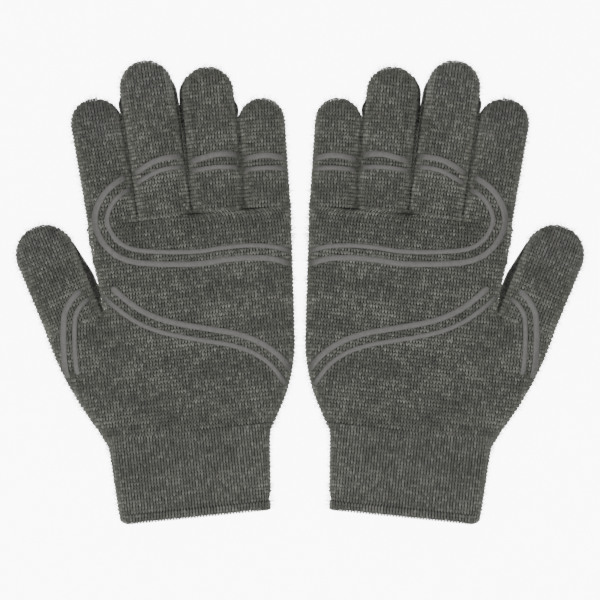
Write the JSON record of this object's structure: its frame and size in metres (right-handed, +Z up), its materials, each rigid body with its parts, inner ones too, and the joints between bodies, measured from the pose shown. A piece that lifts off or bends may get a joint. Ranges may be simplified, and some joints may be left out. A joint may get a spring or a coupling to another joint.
{
  "type": "touchscreen gloves",
  "caption": "Pair of knitted winter gloves lying palm up, with ribbed cuffs, touchscreen fingertips and raised wavy grip lines across the palms and fingers.",
  "frame": {"origin": "middle of the pair's bounding box, on the surface that the gloves lie on", "axes": "+X from the left glove to the right glove, +Y from the cuffs towards the fingertips, +Z up from the backs of the gloves to their palms"},
  "size_m": [0.2848, 0.232, 0.0158],
  "materials": {
    "knit": "heather grey jersey knit",
    "cuff_knit": "heather grey rib knit",
    "touch_yarn": "jersey knit of grey conductive yarn",
    "lining": "brushed fleece",
    "grip_print": "satin silicone",
    "elastic": "matt covered thread"
  },
  "bodies": {
    "left_hand": {"left_hand": "knit", "left_hand_lining": "lining", "left_cuff": "cuff_knit", "left_cuff_hem": "cuff_knit", "left_cuff_lining": "lining", "left_cuff_elastic": "elastic", "left_knuckle_line_outer": "grip_print", "left_knuckle_line_inner": "grip_print", "left_heel_line_upper": "grip_print", "left_heel_line_lower": "grip_print", "left_thumb_root_lines": "grip_print"},
    "left_thumb": {"left_thumb_stall": "knit", "left_thumb_touch_tip": "touch_yarn", "left_thumb_lining": "lining", "left_thumb_lines": "grip_print"},
    "left_index": {"left_index_stall": "knit", "left_index_touch_tip": "touch_yarn", "left_index_lining": "lining", "left_index_lines": "grip_print"},
    "left_middle": {"left_middle_stall": "knit", "left_middle_touch_tip": "touch_yarn", "left_middle_lining": "lining", "left_middle_lines": "grip_print"},
    "left_ring": {"left_ring_stall": "knit", "left_ring_lining": "lining", "left_ring_lines": "grip_print"},
    "left_little": {"left_little_stall": "knit", "left_little_lining": "lining", "left_little_lines": "grip_print"},
    "right_hand": {"right_hand": "knit", "right_hand_lining": "lining", "right_cuff": "cuff_knit", "right_cuff_hem": "cuff_knit", "right_cuff_lining": "lining", "right_cuff_elastic": "elastic", "right_knuckle_line_outer": "grip_print", "right_knuckle_line_inner": "grip_print", "right_heel_line_upper": "grip_print", "right_heel_line_lower": "grip_print", "right_thumb_root_lines": "grip_print"},
    "right_thumb": {"right_thumb_stall": "knit", "right_thumb_touch_tip": "touch_yarn", "right_thumb_lining": "lining", "right_thumb_lines": "grip_print"},
    "right_index": {"right_index_stall": "knit", "right_index_touch_tip": "touch_yarn", "right_index_lining": "lining", "right_index_lines": "grip_print"},
    "right_middle": {"right_middle_stall": "knit", "right_middle_touch_tip": "touch_yarn", "right_middle_lining": "lining", "right_middle_lines": "grip_print"},
    "right_ring": {"right_ring_stall": "knit", "right_ring_lining": "lining", "right_ring_lines": "grip_print"},
    "right_little": {"right_little_stall": "knit", "right_little_lining": "lining", "right_little_lines": "grip_print"}
  },
  "joints": [
    {"name": "gloves_apart", "type": "slide", "parent": "left_hand", "child": "right_hand", "axis": [1, 0, 0], "range_m": [0, 0.15]},
    {"name": "left_thumb_fold", "type": "hinge", "parent": "left_hand", "child": "left_thumb", "pos_m": [-0.1126, -0.01668, 0.015], "axis": [0.9232, 0.3843, 0], "range_deg": [0, 80]},
    {"name": "left_index_fold", "type": "hinge", "parent": "left_hand", "child": "left_index", "pos_m": [-0.09367, 0.03413, 0.015], "axis": [0.9857, 0.1685, 0], "range_deg": [0, 80]},
    {"name": "left_middle_fold", "type": "hinge", "parent": "left_hand", "child": "left_middle", "pos_m": [-0.0676, 0.03825, 0.015], "axis": [0.9895, 0.1444, 0], "range_deg": [0, 80]},
    {"name": "left_ring_fold", "type": "hinge", "parent": "left_hand", "child": "left_ring", "pos_m": [-0.0409, 0.0414, 0.015], "axis": [0.996, 0.0889, 0], "range_deg": [0, 80]},
    {"name": "left_little_fold", "type": "hinge", "parent": "left_hand", "child": "left_little", "pos_m": [-0.01607, 0.04335, 0.015], "axis": [0.9978, 0.0663, 0], "range_deg": [0, 80]},
    {"name": "right_thumb_fold", "type": "hinge", "parent": "right_hand", "child": "right_thumb", "pos_m": [0.1126, -0.01668, 0.015], "axis": [0.9232, -0.3843, 0], "range_deg": [0, 80]},
    {"name": "right_index_fold", "type": "hinge", "parent": "right_hand", "child": "right_index", "pos_m": [0.09367, 0.03413, 0.015], "axis": [0.9857, -0.1685, 0], "range_deg": [0, 80]},
    {"name": "right_middle_fold", "type": "hinge", "parent": "right_hand", "child": "right_middle", "pos_m": [0.0676, 0.03825, 0.015], "axis": [0.9895, -0.1444, 0], "range_deg": [0, 80]},
    {"name": "right_ring_fold", "type": "hinge", "parent": "right_hand", "child": "right_ring", "pos_m": [0.0409, 0.0414, 0.015], "axis": [0.996, -0.0889, 0], "range_deg": [0, 80]},
    {"name": "right_little_fold", "type": "hinge", "parent": "right_hand", "child": "right_little", "pos_m": [0.01607, 0.04335, 0.015], "axis": [0.9978, -0.0663, 0], "range_deg": [0, 80]}
  ]
}
